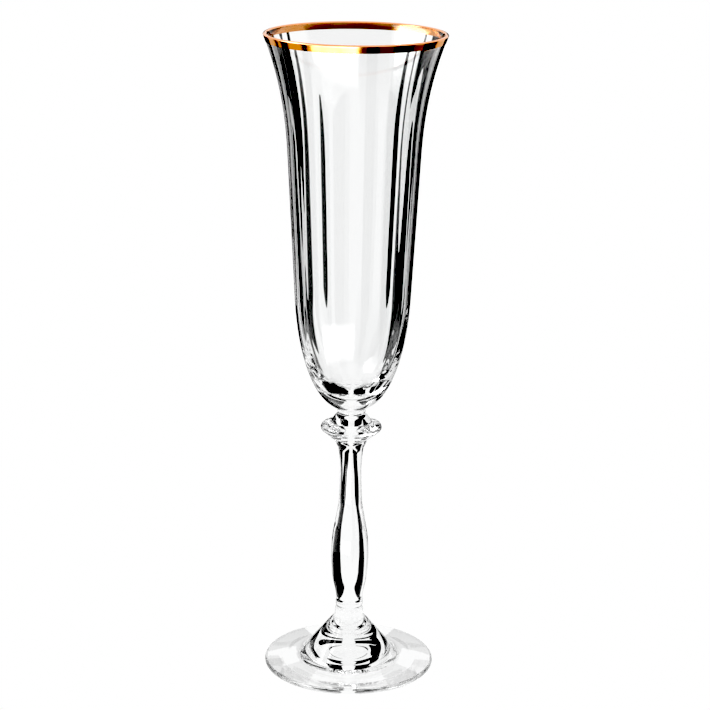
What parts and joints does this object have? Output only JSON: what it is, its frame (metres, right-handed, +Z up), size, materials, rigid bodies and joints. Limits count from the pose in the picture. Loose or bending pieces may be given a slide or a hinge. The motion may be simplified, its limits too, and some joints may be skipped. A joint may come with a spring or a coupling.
{
  "type": "champagne flute",
  "caption": "Stemmed champagne flute: tall flared bowl with optic ribs and a gilded rim, on a bladed knop, a baluster stem and a disc foot.",
  "frame": {"origin": "on the surface that the flute stands on, under the middle of its foot", "axes": "+Z up along the flute's axis of turning; the flute is the same all round, so +X and +Y are free"},
  "size_m": [0.0686, 0.0686, 0.25],
  "materials": {
    "clear_glass": "clear colourless crystal, fire polished",
    "rose_gold": "fired rose-gold lustre, bright, slightly worn at the lip"
  },
  "bodies": {
    "root": {"bowl": "clear_glass", "neck_collar": "clear_glass", "knop": "clear_glass", "stem": "clear_glass", "foot": "clear_glass", "gold_rim_band": "rose_gold"}
  },
  "joints": []
}
